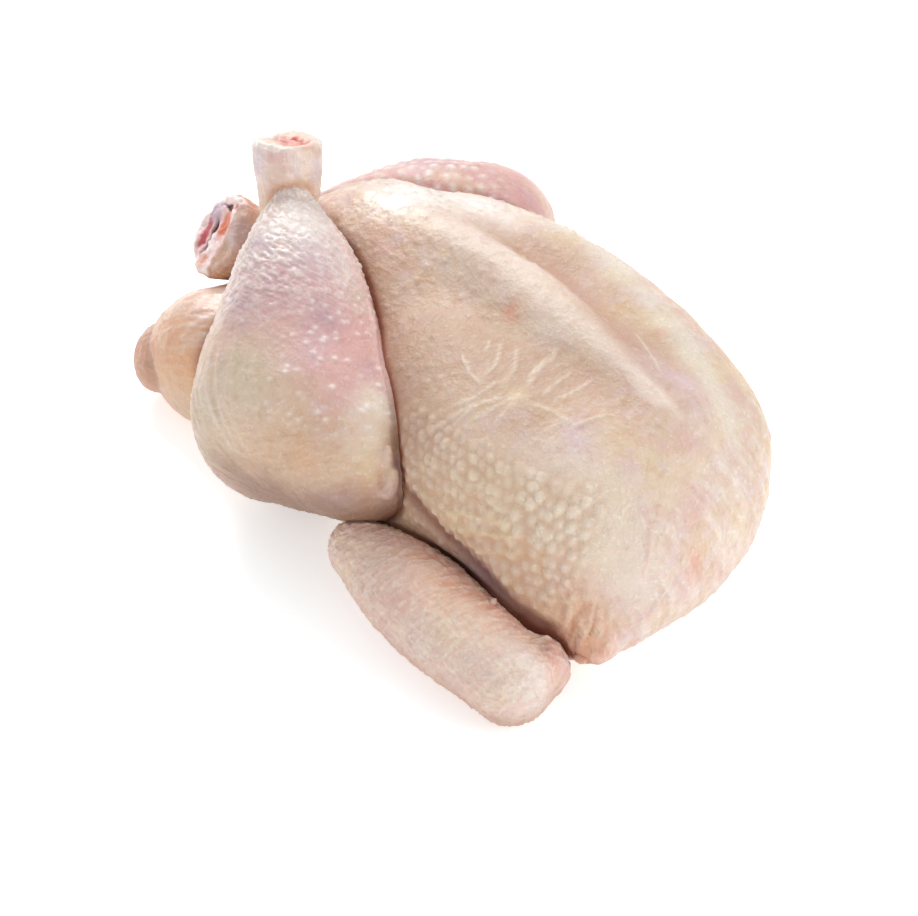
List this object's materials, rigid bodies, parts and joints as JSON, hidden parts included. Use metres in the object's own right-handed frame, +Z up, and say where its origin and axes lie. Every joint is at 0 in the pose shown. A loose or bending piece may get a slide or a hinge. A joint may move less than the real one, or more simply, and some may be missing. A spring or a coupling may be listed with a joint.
{
  "type": "whole raw chicken",
  "caption": "Dressed whole raw chicken lying on its back, breast up, with bare cut hocks, folded legs, tucked wings and a tail lobe.",
  "frame": {"origin": "middle of the floor rectangle that the bird covers, at the level it rests on", "axes": "+X towards the neck end, +Y towards the far wing, +Z up through the breast"},
  "size_m": [0.2616, 0.2058, 0.1186],
  "materials": {
    "skin": "moist pale pink-beige skin"
  },
  "bodies": {
    "root": {"chicken": "skin"}
  },
  "joints": []
}
